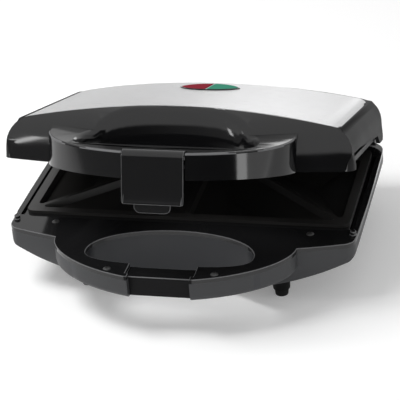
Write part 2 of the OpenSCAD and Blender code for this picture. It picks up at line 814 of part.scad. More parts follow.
// Glossy moulded lid with the upper half of the handle, the latch's pocket and hinge knuckles
module upper_casing() {
    color([0.04, 0.04, 0.045]) lid_pose() difference() {
        union() {
            lid_body(0, shut_gap);
            lid_bar(0, shut_gap);
            both() {
                hinge_bar(knuckle_span, hinge_r);
                along_x(knuckle_span[0], knuckle_span[1]) polygon([[rear_y - 1, 17],
                    [rear_y - 1, 3], [hinge_y - 4, -2], [hinge_y, -2], [hinge_y + 4.4, 4]]);
            }
        }
        difference() {
            union() {
                lid_body(wall_t, shut_gap - 1);
                lid_bar(wall_t, shut_gap - 1);
            }
            grip_hole(wall_t);
            latch_seat();
            at_lid_bosses() translate([0, 0, frame_top]) cylinder(r = boss_r, h = lid_rise);
            for (x = lid_rib_xs) both() box([x - 0.8, 0, lid_rib_z], [x + 0.8, rear_y, lid_rise]);
        }
        grip_hole(0);
        grip_rim();
        box([-pocket_x, front_y - 5, latch_pin_z - barrel_r - fit_gap], [pocket_x, latch_back_y, lid_rise]);
        box([-pocket_x, front_y - 5, -1], [pocket_x, latch_face_y, latch_pin_z]);
        translate([0, latch_y, latch_pin_z]) rotate([0, 90, 0])
            cylinder(r = latch_pin_r, h = 2 * (pocket_x + pin_seat + fit_gap), center = true);
        difference() {
            cover_outline(fit_gap);
            along_y(-4 * bow_reach, rear_y + 1)
                polygon(dome(lid_rise, lid_arch_r, lid_edge_r, lid_lean, cover_t));
        }
        almond(-lens_seat);
        both() along_x(half_w - wall_t - 2, half_w + 1) polygon([[vent_y0, -1], [vent_y0, vent_z0],
            [vent_y1, vent_z1], [vent_y1 + 6, -1]]);
        at_lid_bosses() cylinder(r = screw_r, h = frame_top + lid_screw_drop + 1);
        both() hinge_bar([ear_spans[0][0], ear_spans[1][1]], hinge_pin_r + turn_gap);
        both() for (span = ear_spans) hinge_bar([span[0] - fit_gap, span[1] + fit_gap], hinge_r + fit_gap);
    }
}

// Brushed steel sheet that follows the lid's arch, with the lamp window
module steel_cover() {
    color([0.78, 0.78, 0.79]) lid_pose() difference() {
        intersection() {
            lid_layer(0, cover_t);
            cover_outline(0);
        }
        almond(bezel_w + 0.1);
    }
}

module lens_layer(t0, t1, g) {
    intersection() {
        lid_layer(t0, t1);
        almond(g);
    }
}

module lamp_bezel() {
    color([0.02, 0.02, 0.02]) lid_pose() {
        difference() {
            lens_layer(-lens_rise, cover_t, bezel_w);
            difference() {
                almond(0);
                box([-divider_w / 2, 0, 0], [divider_w / 2, rear_y, 2 * lid_rise]);
            }
        }
    }
}

module half_lens(x0, x1) {
    lid_pose() intersection() {
        lens_layer(-lens_rise - 0.3, cover_t, -0.05);
        box([x0, 0, 0], [x1, rear_y, 2 * lid_rise]);
    }
}

module red_lens() {
    color([0.7, 0.05, 0.08]) half_lens(-body_w, -divider_w / 2 - 0.05);
}

module green_lens() {
    color([0.05, 0.5, 0.3]) half_lens(divider_w / 2 + 0.05, body_w);
}

// Clip under the window that holds the two lamps
module lamp_holder() {
    color([0.9, 0.9, 0.86]) lid_pose() {
        difference() {
            box([-holder_x, lens_y - holder_d / 2, lamp_z - lamp_r - holder_t],
                [holder_x, lens_y + holder_d / 2, lamp_top]);
            box([holder_t - holder_x, lens_y - holder_d, lamp_z - lamp_r],
                [holder_x - holder_t, lens_y + holder_d, lamp_z + lamp_r + 0.5]);
            for (s = [-1, 1]) translate([s * 9, lens_y, lamp_z]) cylinder(r = 6, h = 12);
        }
    }
}

module indicator_lamps() {
    color([0.95, 0.7, 0.5]) lid_pose() for (s = [-1, 1]) translate([s * 9, lens_y + 6, lamp_z])
        rotate([90, 0, 0]) {
            cylinder(r = lamp_r, h = 11);
            translate([0, 0, 11]) sphere(r = lamp_r);
        }
}

// Flat frame inside the lid that carries the upper plate
module lid_frame() {
    inset = wall_t + fit_gap;
    color([0.08, 0.08, 0.085]) lid_pose() difference() {
        intersection() {
            union() {
                lid_body(inset, shut_gap);
                lid_bar(inset, shut_gap);
            }
            box([-body_w, front_y, frame_top - frame_t], [body_w, rear_y, frame_top]);
        }
        round_plate(ledge_w - plate_w / 2, plate_w / 2 - ledge_w, ledge_w, plate_d - ledge_w,
            plate_corner_r, lid_rise);
        grip_hole(inset);
        latch_seat_clear();
        at_lid_bosses() cylinder(r = screw_r + 0.2, h = lid_rise);
    }
}

module latch_seat_clear() {
    box([-pocket_x - seat_side - fit_gap, front_y, 0],
        [pocket_x + seat_side + fit_gap, latch_back_y + wall_t + fit_gap, lid_rise]);
}

module lid_frame_screws() {
    color("silver") lid_pose() at_lid_bosses() translate([0, 0, frame_top - frame_t]) {
        cylinder(r = screw_r, h = frame_t + lid_screw_drop);
        translate([0, 0, -1.6]) cylinder(r = head_r, h = 1.6);
    }
}

module latch_pin() {
    color("silver") lid_pose() translate([0, latch_y, latch_pin_z]) rotate([0, 90, 0])
        cylinder(r = latch_pin_r, h = 2 * (pocket_x + pin_seat), center = true);
}

// Flap that turns on its pin and hooks under the lower bar
module latch() {
    face = latch_y - barrel_r;
    color([0.06, 0.06, 0.06]) lid_pose() difference() {
        union() {
            translate([0, latch_y, latch_pin_z]) rotate([0, 90, 0])
                cylinder(r = barrel_r, h = latch_w, center = true);
            translate([0, face + flap_t, 0]) rotate([90, 0, 0]) linear_extrude(flap_t) polygon(concat(
                [[latch_w / 2, latch_pin_z], [-latch_w / 2, latch_pin_z]],
                arc([latch_corner_r - latch_w / 2, latch_corner_r - flap_drop], latch_corner_r, 180, 270, 4),
                [[-tab_w / 2, -flap_drop]],
                arc([4 - tab_w / 2, hook_top - hook_h + 4], 4, 180, 270, 5),
                arc([tab_w / 2 - 4, hook_top - hook_h + 4], 4, 270, 360, 5),
                [[tab_w / 2, -flap_drop]],
                arc([latch_w / 2 - latch_corner_r, latch_corner_r - flap_drop], latch_corner_r, 270, 360, 4)));
            along_x(latch_corner_r - latch_w / 2, latch_w / 2 - latch_corner_r)
                polygon([[face + 0.5, 6 - flap_drop], [face, 6 - flap_drop], [face - lip_reach, 1.5 - flap_drop],
                    [face - lip_reach, -flap_drop], [face + 0.5, -flap_drop]]);
            box([4 - tab_w / 2, face + flap_t - 0.5, hook_top - hook_h],
                [tab_w / 2 - 4, notch_y - hook_gap, hook_top]);
        }
        translate([0, latch_y, latch_pin_z]) rotate([0, 90, 0])
            cylinder(r = latch_pin_r + turn_gap, h = 2 * latch_w, center = true);
    }
}

module on_table() {
    translate([0, -origin_y, deck_h]) children();
}

on_table() lower_casing();
on_table() deck_frame();
on_table() deck_screws();
on_table() lower_plate();
on_table() lower_plate_screws();
on_table() lower_heater();
on_table() lower_heater_straps();
on_table() lower_reflector();
on_table() thermostat();
on_table() thermal_fuse();
on_table() terminal_block();
on_table() lower_leads();
on_table() casing_screws();
on_table() rubber_feet();
on_table() cord_grommet();
on_table() hinge_pins();
on_table() upper_casing();
on_table() steel_cover();
on_table() lamp_bezel();
on_table() red_lens();
on_table() green_lens();
on_table() lamp_holder();
on_table() indicator_lamps();
on_table() lid_frame();
on_table() lid_frame_screws();
on_table() upper_plate();
on_table() upper_plate_screws();
on_table() upper_heater();
on_table() upper_heater_straps();
on_table() upper_reflector();
on_table() upper_leads();
on_table() latch_pin();
on_table() latch();
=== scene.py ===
import json
import math

import bpy
from mathutils import Matrix, Vector

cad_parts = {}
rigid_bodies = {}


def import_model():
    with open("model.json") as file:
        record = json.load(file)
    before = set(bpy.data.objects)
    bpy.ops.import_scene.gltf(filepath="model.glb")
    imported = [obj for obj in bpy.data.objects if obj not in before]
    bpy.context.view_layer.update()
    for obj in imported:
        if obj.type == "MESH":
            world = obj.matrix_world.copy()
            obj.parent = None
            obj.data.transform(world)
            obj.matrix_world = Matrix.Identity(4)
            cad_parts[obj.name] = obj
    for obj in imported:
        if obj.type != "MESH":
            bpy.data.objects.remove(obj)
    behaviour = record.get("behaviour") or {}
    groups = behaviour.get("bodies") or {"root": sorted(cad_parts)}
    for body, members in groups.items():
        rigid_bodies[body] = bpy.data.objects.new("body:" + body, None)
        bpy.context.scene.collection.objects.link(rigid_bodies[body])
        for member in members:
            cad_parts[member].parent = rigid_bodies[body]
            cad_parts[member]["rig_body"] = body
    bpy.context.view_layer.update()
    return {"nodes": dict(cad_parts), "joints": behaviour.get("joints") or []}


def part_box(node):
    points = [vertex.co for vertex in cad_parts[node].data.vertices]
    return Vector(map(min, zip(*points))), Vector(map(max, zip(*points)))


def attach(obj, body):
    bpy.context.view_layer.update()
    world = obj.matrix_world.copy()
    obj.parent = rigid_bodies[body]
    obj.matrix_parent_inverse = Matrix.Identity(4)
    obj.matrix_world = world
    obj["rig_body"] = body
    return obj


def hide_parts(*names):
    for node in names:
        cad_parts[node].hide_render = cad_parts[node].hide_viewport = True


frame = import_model()
bpy.ops.object.select_all(action="DESELECT")

# Lower casing: the bowl under everything, one injection moulding in dark grey plastic with a fine
# satin grain. The lower half of the D-shaped handle, the feet's pegs and the hinge ears are moulded
# on. The solid gives the form, and here its edges get the small radius that a mould leaves.
weld_distance = 2e-6
flat_turn = math.radians(0.5)
smooth_turn = math.radians(30.0)
sharp_cosine = 0.8


def dress(piece, finish):
    """Gives the whole piece one finish."""
    piece.data.materials.clear()
    piece.data.materials.append(finish)


def dress_part(piece, finish, wanted):
    """Gives a further finish to the faces whose centre and normal are wanted."""
    piece.data.materials.append(finish)
    for face in piece.data.polygons:
        if wanted(face.center, face.normal):
            face.material_index = len(piece.data.materials) - 1


def deselect_mesh(mesh):
    for group in (mesh.vertices, mesh.edges, mesh.polygons):
        group.foreach_set("select", [False] * len(group))


def loose_copy(name):
    """A copy of a node's solid that is free of its body, selected and active."""
    piece = frame["nodes"][name].copy()
    piece.data = piece.data.copy()
    piece.name = name + "_finished"
    piece.data.name = piece.name
    for key in list(piece.keys()):
        del piece[key]
    bpy.context.scene.collection.objects.link(piece)
    piece.parent = None
    piece.matrix_world = Matrix.Identity(4)
    bpy.ops.object.select_all(action="DESELECT")
    piece.select_set(True)
    bpy.context.view_layer.objects.active = piece
    return piece


def merge_faces():
    """Joins the solid's loose triangles into whole faces."""
    bpy.ops.object.mode_set(mode="EDIT")
    bpy.ops.mesh.select_all(action="SELECT")
    bpy.ops.mesh.remove_doubles(threshold=weld_distance)
    bpy.ops.mesh.dissolve_limited(angle_limit=flat_turn)
    bpy.ops.object.mode_set(mode="OBJECT")


def round_edges(piece, finish_index, wanted, width, segments):
    """Rounds the sharp edges whose middle and two face normals are wanted."""
    mesh = piece.data
    beside = {}
    for face in mesh.polygons:
        for key in face.edge_keys:
            beside.setdefault(key, []).append(face.normal.copy())
    deselect_mesh(mesh)
    for edge in mesh.edges:
        normals = beside.get(edge.key, [])
        if len(normals) == 2 and normals[0].dot(normals[1]) < sharp_cosine:
            middle = (mesh.vertices[edge.vertices[0]].co + mesh.vertices[edge.vertices[1]].co) / 2
            edge.select = wanted(middle, *normals)
    bpy.context.tool_settings.mesh_select_mode = (False, True, False)
    bpy.ops.object.mode_set(mode="EDIT")
    bpy.ops.mesh.bevel(offset=width, segments=segments, clamp_overlap=False, material=finish_index)
    bpy.ops.object.mode_set(mode="OBJECT")


def soften_edges(piece, finish_index, width, segments):
    """Gives every edge the mould's small radius."""
    soft = piece.modifiers.new("soft_edges", "BEVEL")
    soft.width = width
    soft.segments = segments
    soft.limit_method = "ANGLE"
    soft.angle_limit = smooth_turn
    soft.use_clamp_overlap = True
    soft.material = finish_index
    bpy.ops.object.modifier_apply(modifier=soft.name)


def split_faces(piece, wanted, height):
    """Cuts the wanted faces along a level line."""
    deselect_mesh(piece.data)
    for face in piece.data.polygons:
        face.select = wanted(face.center, face.normal)
    bpy.context.tool_settings.mesh_select_mode = (False, False, True)
    bpy.ops.object.mode_set(mode="EDIT")
    bpy.ops.mesh.bisect(plane_co=(0.0, 0.0, height), plane_no=(0.0, 0.0, 1.0))
    bpy.ops.object.mode_set(mode="OBJECT")


def smooth_faces(piece):
    bpy.ops.object.shade_smooth_by_angle(angle=smooth_turn)
    even = piece.modifiers.new("even_normals", "WEIGHTED_NORMAL")
    even.keep_sharp = True
    bpy.ops.object.modifier_apply(modifier=even.name)


def finished_copy(name, finish, soften, segments=2, rounded=None, split=None, highlight_finish=None):
    """The solid's own form with merged faces, soft edges and smooth curves, standing for its node.
    A painted edge highlight finish, where one is given, goes on the rounded edges alone."""
    piece = loose_copy(name)
    dress(piece, finish)
    edge_index = -1
    # The edge finish is a light grey painted as a highlight
    if highlight_finish:
        piece.data.materials.append(highlight_finish)
        edge_index = 1
    merge_faces()
    if rounded:
        round_edges(piece, edge_index, *rounded)
    soften_edges(piece, edge_index, soften, segments)
    if split:
        split_faces(piece, *split)
    smooth_faces(piece)
    piece.select_set(False)
    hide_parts(name)
    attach(piece, frame["nodes"][name]["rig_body"])
    return piece


def pattern_group(name, inputs):
    """A node group with the given inputs that puts out a colour, a slow patch and a height."""
    group = bpy.data.node_groups.new(name, "ShaderNodeTree")
    for label, kind, value in inputs:
        group.interface.new_socket(label, in_out="INPUT", socket_type=kind).default_value = value
    group.interface.new_socket("Colour", in_out="OUTPUT", socket_type="NodeSocketColor")
    for label in ("Patch", "Height"):
        group.interface.new_socket(label, in_out="OUTPUT", socket_type="NodeSocketFloat")
    place = group.nodes.new("ShaderNodeTexCoord").outputs["Object"]
    entry = group.nodes.new("NodeGroupInput")
    leave = group.nodes.new("NodeGroupOutput")
    return group, place, entry, leave


def noise(group, vector, scale, detail):
    """The strength of a noise whose scale comes from a socket."""
    texture = group.nodes.new("ShaderNodeTexNoise")
    texture.inputs["Detail"].default_value = detail
    group.links.new(vector, texture.inputs["Vector"])
    group.links.new(scale, texture.inputs["Scale"])
    return texture.outputs["Fac"]


def shaded(group, share, entry, leave):
    """Leads the shade between the group's Low and High colours to its Colour."""
    shade = group.nodes.new("ShaderNodeMix")
    shade.data_type = "RGBA"
    group.links.new(share, shade.inputs["Factor"])
    group.links.new(entry.outputs["Low"], shade.inputs["A"])
    group.links.new(entry.outputs["High"], shade.inputs["B"])
    group.links.new(shade.outputs["Result"], leave.inputs["Colour"])


def moulded_grain():
    """Grain of a moulded surface: a slow change of shade and a fine height."""
    group, place, entry, leave = pattern_group("moulded_grain", (
        ("Low", "NodeSocketColor", (0.01, 0.01, 0.01, 1)),
        ("High", "NodeSocketColor", (0.02, 0.02, 0.02, 1)),
        ("Patch Scale", "NodeSocketFloat", 18.0),
        ("Grain Scale", "NodeSocketFloat", 900.0)))
    patch = noise(group, place, entry.outputs["Patch Scale"], detail=4)
    grain = noise(group, place, entry.outputs["Grain Scale"], detail=2)
    shaded(group, patch, entry, leave)
    group.links.new(patch, leave.inputs["Patch"])
    group.links.new(grain, leave.inputs["Height"])
    return group


noise_low, noise_high = 0.3, 0.7


def patterned(name, pattern, values, rough, spread, depth):
    """A material whose colour, roughness and bump follow one pattern group."""
    made = bpy.data.materials.new(name)
    made.use_nodes = True
    nodes, links = made.node_tree.nodes, made.node_tree.links
    shader = nodes["Principled BSDF"]
    surface = nodes.new("ShaderNodeGroup")
    surface.node_tree = pattern
    for label, value in values.items():
        surface.inputs[label].default_value = value
    gloss = nodes.new("ShaderNodeMapRange")
    gloss.inputs["From Min"].default_value = noise_low
    gloss.inputs["From Max"].default_value = noise_high
    gloss.inputs["To Min"].default_value = rough
    gloss.inputs["To Max"].default_value = rough + spread
    bump = nodes.new("ShaderNodeBump")
    bump.inputs["Distance"].default_value = depth
    links.new(surface.outputs["Colour"], shader.inputs["Base Color"])
    links.new(surface.outputs["Patch"], gloss.inputs["Value"])
    links.new(gloss.outputs["Result"], shader.inputs["Roughness"])
    links.new(surface.outputs["Height"], bump.inputs["Height"])
    links.new(bump.outputs["Normal"], shader.inputs["Normal"])
    return made, shader


moulding = moulded_grain()


def plastic(name, low, high, rough, spread, grain, depth, patch=18.0, shine=0.5):
    """A moulded finish between two colours, with its roughness from rough to rough + spread."""
    values = {"Low": (*low, 1), "High": (*high, 1), "Patch Scale": patch, "Grain Scale": grain}
    made, shader = patterned(name, moulding, values, rough, spread, depth)
    shader.inputs["Specular IOR Level"].default_value = shine
    return made


satin_grey = plastic("satin_grey", low=(0.036, 0.037, 0.039), high=(0.046, 0.047, 0.05),
                     rough=0.44, spread=0.08, grain=2600.0, depth=2e-5, shine=0.35)
bowl = finished_copy("lower_casing", satin_grey, soften=0.0005)

# The finger gap's wall is polished, and its colour is darker and bluer than the casing's as painted
# shade in the gap; the feet's pegs are black where the rubber holds them
gap_wall_painted_shade = plastic("gap_wall_painted_shade", low=(0.014, 0.0155, 0.019), high=(0.018, 0.0195, 0.024),
                   rough=0.3, spread=0.08, grain=900.0, depth=8e-6)
peg_black = plastic("peg_black", low=(0.004, 0.004, 0.004), high=(0.007, 0.007, 0.007),
                    rough=0.4, spread=0.1, grain=1500.0, depth=2e-5, shine=0.1)
plates_front_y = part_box("lower_plate")[0].y
gap_half_width = 0.062
gap_front_y = plates_front_y - 0.062
gap_rear_y = plates_front_y - 0.001
gap_wall_lean = 0.7
skirt_foot_z = 0.006
peg_top_z = 0.0155


def in_finger_gap(centre, normal):
    """The upright wall round the finger gap, above the skirt's foot, where shade is painted."""
    in_gap = abs(centre.x) < gap_half_width and gap_front_y < centre.y < gap_rear_y
    return in_gap and abs(normal.z) < gap_wall_lean and centre.z > skirt_foot_z


# The finger gap's wall gets the darker colour of painted shade
dress_part(bowl, gap_wall_painted_shade, in_finger_gap)
dress_part(bowl, peg_black, lambda centre, normal: centre.z < peg_top_z)

# Feet and inlet grommet: black rubber, moulded soft. The four pads are pressed under the casing's
# pegs, and the grommet sits in a round hole of the rear wall.
rubber = plastic("rubber", low=(0.007, 0.007, 0.007), high=(0.013, 0.013, 0.013),
                 rough=0.6, spread=0.15, grain=1200.0, depth=5e-5, shine=0.2)
for name in ("rubber_feet", "cord_grommet"):
    finished_copy(name, rubber, soften=0.0003)

# Thermostat, fuse, terminal block and leads: the electrical pieces inside the two halves. The
# blocks are pressed steatite, the fuse has a nylon body, and the leads run in braided glass sleeve.
steatite = plastic("steatite", low=(0.66, 0.62, 0.54), high=(0.78, 0.75, 0.68),
                   rough=0.55, spread=0.15, grain=700.0, depth=3e-5)
nylon = plastic("nylon", low=(0.72, 0.7, 0.64), high=(0.8, 0.78, 0.73),
                rough=0.4, spread=0.1, grain=500.0, depth=1e-5)
glass_sleeve = plastic("glass_sleeve", low=(0.55, 0.54, 0.47), high=(0.8, 0.79, 0.72),
                       rough=0.7, spread=0.1, grain=1500.0, depth=1e-4)
for name, finish in (("thermostat", steatite), ("terminal_block", steatite), ("thermal_fuse", nylon),
                     ("lower_leads", glass_sleeve), ("upper_leads", glass_sleeve)):
    dress(frame["nodes"][name], finish)


# Heaters, straps and reflectors: behind each plate lies a steel tube heater bent to a U, held by
# two spring straps, and behind it a bright aluminium sheet that throws the heat back.
def drawn_lines():
    """Lines that a roller or a brush leaves: one noise stretched along the work."""
    group, place, entry, leave = pattern_group("drawn_lines", (
        ("Low", "NodeSocketColor", (0.5, 0.5, 0.5, 1)),
        ("High", "NodeSocketColor", (0.6, 0.6, 0.6, 1)),
        ("Stretch", "NodeSocketVector", (1.0, 1.0, 1.0)),
        ("Scale", "NodeSocketFloat", 60.0)))
    drawn = group.nodes.new("ShaderNodeMapping")
    group.links.new(place, drawn.inputs["Vector"])
    group.links.new(entry.outputs["Stretch"], drawn.inputs["Scale"])
    lines = noise(group, drawn.outputs["Vector"], entry.outputs["Scale"], detail=4)
    shaded(group, lines, entry, leave)
    group.links.new(lines, leave.inputs["Patch"])
    group.links.new(lines, leave.inputs["Height"])
    return group


drawing = drawn_lines()


def metal(name, low, high, rough, spread, scale, stretch=(1.0, 1.0, 1.0), depth=1e-5):
    """Bare or plated metal whose shade, roughness and bump follow the drawn lines."""
    values = {"Low": (*low, 1), "High": (*high, 1), "Stretch": stretch, "Scale": scale}
    made, shader = patterned(name, drawing, values, rough, spread, depth)
    shader.inputs["Metallic"].default_value = 1.0
    return made


oxidised_tube = metal("oxidised_tube", low=(0.14, 0.12, 0.11), high=(0.3, 0.27, 0.25),
                      rough=0.45, spread=0.2, scale=60.0)
bright_sheet = metal("bright_sheet", low=(0.7, 0.7, 0.71), high=(0.82, 0.82, 0.83),
                     rough=0.18, spread=0.12, scale=40.0, stretch=(1.0, 14.0, 14.0))
for half in ("lower", "upper"):
    dress(frame["nodes"][half + "_heater"], oxidised_tube)
    dress(frame["nodes"][half + "_heater_straps"], bright_sheet)
    dress(frame["nodes"][half + "_reflector"], bright_sheet)

# Deck frame: the glossy black plate that closes the bowl and the handle and carries the cooking
# plate on a ledge. It is moulded in polished plastic and held by four round-headed black screws.
# Its rounded edges are painted light grey as thin highlight lines.
deck_black = plastic("deck_black", low=(0.007, 0.007, 0.0075), high=(0.01, 0.01, 0.0105),
                     rough=0.08, spread=0.05, grain=60.0, depth=2e-6)
# A light grey painted on rounded edges as their highlight
painted_edge_highlight = plastic("painted_edge_highlight", low=(0.1, 0.101, 0.104), high=(0.15, 0.151, 0.155),
                    rough=0.42, spread=0.1, grain=2600.0, depth=2e-5)
deck_rim_y = plates_front_y - 0.0005
deck_rim_z = 0.04
deck_rim_radius = 0.0005
deck_top_cosine = 0.9
deck_side_lean = 0.4


def higher_first(first, second):
    """Two face normals, with the one that looks further up first."""
    return (first, second) if first.z > second.z else (second, first)


def deck_rim(middle, first, second):
    """The deck's top edges in front of the plates."""
    top, side = higher_first(first, second)
    in_front = middle.y < deck_rim_y and middle.z > deck_rim_z
    return in_front and top.z > deck_top_cosine and abs(side.z) < deck_side_lean


deck = finished_copy("deck_frame", deck_black, soften=0.0004, rounded=(deck_rim, deck_rim_radius, 2),
                     highlight_finish=painted_edge_highlight)

# Its tongue in the latch notch has a matt front
tongue_black = plastic("tongue_black", low=(0.005, 0.005, 0.0055), high=(0.008, 0.008, 0.0085),
                       rough=0.4, spread=0.1, grain=1800.0, depth=2e-5, shine=0.1)
tongue_depth = 0.008
tongue_half_width = 0.022
tongue_cosine = 0.8
tongue_rear_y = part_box("deck_frame")[0].y + tongue_depth


def tongue_front(centre, normal):
    on_tongue = centre.y < tongue_rear_y and abs(centre.x) < tongue_half_width
    return on_tongue and normal.y < -tongue_cosine


dress_part(deck, tongue_black, tongue_front)

black_screw = plastic("black_screw", low=(0.02, 0.02, 0.02), high=(0.05, 0.05, 0.05),
                      rough=0.25, spread=0.1, grain=800.0, depth=1e-5)
finished_copy("deck_screws", black_screw, soften=0.00012)

# Cooking plates: cast aluminium with triangular pockets and a sprayed and baked non-stick coating.
# The lower one is screwed down on the deck's ledge, the upper one on the lid frame's.
nonstick = plastic("nonstick", low=(0.016, 0.0155, 0.015), high=(0.028, 0.027, 0.026),
                   rough=0.3, spread=0.12, grain=1400.0, depth=2.5e-5, patch=30.0)
for name in ("lower_plate", "upper_plate"):
    finished_copy(name, nonstick, soften=0.0006)

# Upper casing: the lid's moulding in polished black plastic, with the upper half of the handle.
# Its sides and back have a fine matt grain, and the rounded top edge of the handle's bar is painted
# light grey as a highlight.
gloss_black = plastic("gloss_black", low=(0.0035, 0.0035, 0.0038), high=(0.0055, 0.0055, 0.006),
                      rough=0.07, spread=0.05, grain=60.0, depth=2e-6)
lid_top_z = 0.1
bar_rear_y = -0.045
bar_top_cosine = 0.8
bar_radius = 0.0014
wall_lean = 0.45
recess_cosine = 0.5
recess_half_width = 0.058
recess_front_y = -0.062
recess_rear_y = -0.024
recess_split_z = 0.109


def looks_outward(place, normal):
    """Whether a face or edge looks away from the lid's middle."""
    return normal.y * place.y + normal.x * place.x > 0


def bar_top(middle, first, second):
    """The outer top edge of the handle's bar."""
    top, side = higher_first(first, second)
    on_bar = middle.y < bar_rear_y and middle.z > lid_top_z and looks_outward(middle, side)
    return on_bar and top.z > bar_top_cosine and abs(side.z) < wall_lean


def recess_wall(centre, normal):
    """The casing's wall behind the finger gap."""
    in_recess = abs(centre.x) < recess_half_width and recess_front_y < centre.y < recess_rear_y
    facing = normal.y < -recess_cosine and abs(normal.z) < wall_lean
    return in_recess and facing and centre.z > lid_top_z


lid_shell = finished_copy("upper_casing", gloss_black, soften=0.0006, rounded=(bar_top, bar_radius, 3),
                          split=(recess_wall, recess_split_z))

highlight_rear_y = -0.05
highlight_front_y = -0.085
highlight_half_width = 0.09
highlight_end_x = 0.065
highlight_least_cosine = 0.4
highlight_most_cosine = 0.96


def bar_rounding(centre, normal):
    """The rounded edge along the front and the two ends of the bar, painted as a highlight."""
    sloping = highlight_least_cosine < normal.z < highlight_most_cosine and looks_outward(centre, normal)
    along_bar = centre.y < highlight_rear_y and centre.z > lid_top_z and abs(centre.x) < highlight_half_width
    return sloping and along_bar and (abs(centre.x) > highlight_end_x or centre.y < highlight_front_y)


# The bar's rounded edge gets the painted highlight
dress_part(lid_shell, painted_edge_highlight, bar_rounding)

matt_side = plastic("matt_side", low=(0.01, 0.01, 0.0105), high=(0.014, 0.014, 0.0145),
                    rough=0.5, spread=0.1, grain=2600.0, depth=3e-5, shine=0.12)
edge_black = plastic("edge_black", low=(0.01, 0.01, 0.0105), high=(0.014, 0.014, 0.0145),
                     rough=0.6, spread=0.1, grain=2600.0, depth=3e-5, shine=0.0)
steel_front_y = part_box("steel_cover")[0].y
steel_rear_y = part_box("steel_cover")[1].y
steel_side_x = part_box("steel_cover")[1].x
under_sheet = 0.002
behind_sheet_y = steel_rear_y - 0.003
side_wall_x = 0.1
side_wall_cosine = 0.5
margin_cosine = 0.6


def beside_or_behind(centre, normal):
    """The casing's faces beside and behind the steel, and its side walls."""
    beside = centre.y > steel_front_y and abs(centre.x) > steel_side_x - under_sheet
    side_wall = abs(centre.x) > side_wall_x and abs(normal.x) > side_wall_cosine
    return beside or side_wall or centre.y > behind_sheet_y


def left_margin(centre, normal):
    """The casing's narrow top face left of the steel."""
    beside = centre.y > steel_front_y and centre.x < under_sheet - steel_side_x
    return beside and normal.z > margin_cosine


dress_part(lid_shell, matt_side, beside_or_behind)
dress_part(lid_shell, edge_black, left_margin)

# The casing stands a little over the sheet along its sides
rim_rise = 0.0012
rim_inner_x = steel_side_x - 0.0005
rim_outer_x = steel_side_x + 0.0015
lid_mesh = lid_shell.data
margins = set()
for face in lid_mesh.polygons:
    beside = face.center.y > steel_front_y and abs(face.center.x) > steel_side_x
    if beside and face.normal.z > margin_cosine:
        margins.update(face.vertices)
for index in margins:
    corner = lid_mesh.vertices[index]
    if rim_inner_x < abs(corner.co.x) < rim_outer_x:
        corner.co.z += rim_rise

# The recess behind the bar rolls over into the casing's top, by its corner normals alone
rolled_from_z = 0.1172
roll_lean = Vector((0.0, -0.05, 0.62))
rolled = set()
for face in lid_mesh.polygons:
    if recess_wall(face.center, face.normal):
        rolled.update(index for index in face.vertices if lid_mesh.vertices[index].co.z > rolled_from_z)
normals = [corner.vector.copy() for corner in lid_mesh.corner_normals]
for loop in lid_mesh.loops:
    if loop.vertex_index in rolled:
        normals[loop.index] = (normals[loop.index] + roll_lean).normalized()
lid_mesh.normals_split_custom_set(normals)

# Lid frame: a flat matt black moulding that closes the lid from below and carries the upper plate.
# Four screws hold it in the casing's bosses.
frame_black = plastic("frame_black", low=(0.01, 0.01, 0.011), high=(0.015, 0.015, 0.016),
                      rough=0.42, spread=0.1, grain=1800.0, depth=3e-5, shine=0.12)
finished_copy("lid_frame", frame_black, soften=0.0004)

# Screws and pins: zinc-plated steel. The screws hold casing, frame and plates together, and the
# lid and the latch turn on the pins.
zinc = metal("zinc", low=(0.5, 0.5, 0.52), high=(0.68, 0.68, 0.7), rough=0.28, spread=0.15, scale=300.0)
for name in ("casing_screws", "lower_plate_screws", "upper_plate_screws", "lid_frame_screws",
             "hinge_pins", "latch_pin"):
    dress(frame["nodes"][name], zinc)

# Steel cover: a pressed stainless sheet, brushed from side to side, that follows the lid's arch
# and is bent over the casing's rear edge, further at the sides, where the arch leaves more room.
brushed_steel = metal("brushed_steel", low=(0.41, 0.41, 0.417), high=(0.68, 0.68, 0.685),
                      rough=0.25, spread=0.11, scale=30.0, stretch=(0.3, 60.0, 60.0), depth=4e-6)
cover = finished_copy("steel_cover", brushed_steel, soften=0.0002)
lid_hinge = next(joint for joint in frame["joints"] if joint["name"] == "lid_hinge")
rear_fall = math.tan(math.radians(-lid_hinge["range_deg"][0]))
lap_start_y = steel_rear_y - 0.013
lap_growth = 0.01
lap_x = 0.03
lap_at_x = 0.0016
lap_power = 1.7
lap_clearance = 0.0003
for vertex in cover.data.vertices:
    share = min(1.0, max(0.0, (vertex.co.y - lap_start_y) / lap_growth))
    lap = lap_at_x * (abs(vertex.co.x) / lap_x) ** lap_power * share
    vertex.co += Vector((0.0, lap, lap_clearance * share - rear_fall * lap))


# Indicator window: two clear lenses, red and green, in a black bezel that is pressed into the
# sheet. A nylon clip under them holds the two lamps.
def lens(name, colour):
    """Clear tinted plastic, a little deeper in places."""
    return plastic(name, low=[0.8 * part for part in colour], high=colour,
                   rough=0.12, spread=0.05, grain=300.0, depth=1e-5, shine=0.0)


finished_copy("lamp_bezel", gloss_black, soften=0.0002)
finished_copy("red_lens", lens("red_clear", (0.26, 0.03, 0.045)), soften=0.0003)
finished_copy("green_lens", lens("green_clear", (0.06, 0.28, 0.19)), soften=0.0003)
dress(frame["nodes"]["lamp_holder"], nylon)
dress(frame["nodes"]["indicator_lamps"], lens("lamp_clear", (0.8, 0.5, 0.3)))

# Latch: a black flap moulded in tough nylon that swings on a steel pin in the lid's handle. It is
# polished, and its rounded edges are painted light grey as highlights.
latch_black = plastic("latch_black", low=(0.004, 0.004, 0.0043), high=(0.0065, 0.0065, 0.007),
                      rough=0.16, spread=0.06, grain=90.0, depth=3e-6)
finished_copy("latch", latch_black, soften=0.0007, segments=3, highlight_finish=painted_edge_highlight)

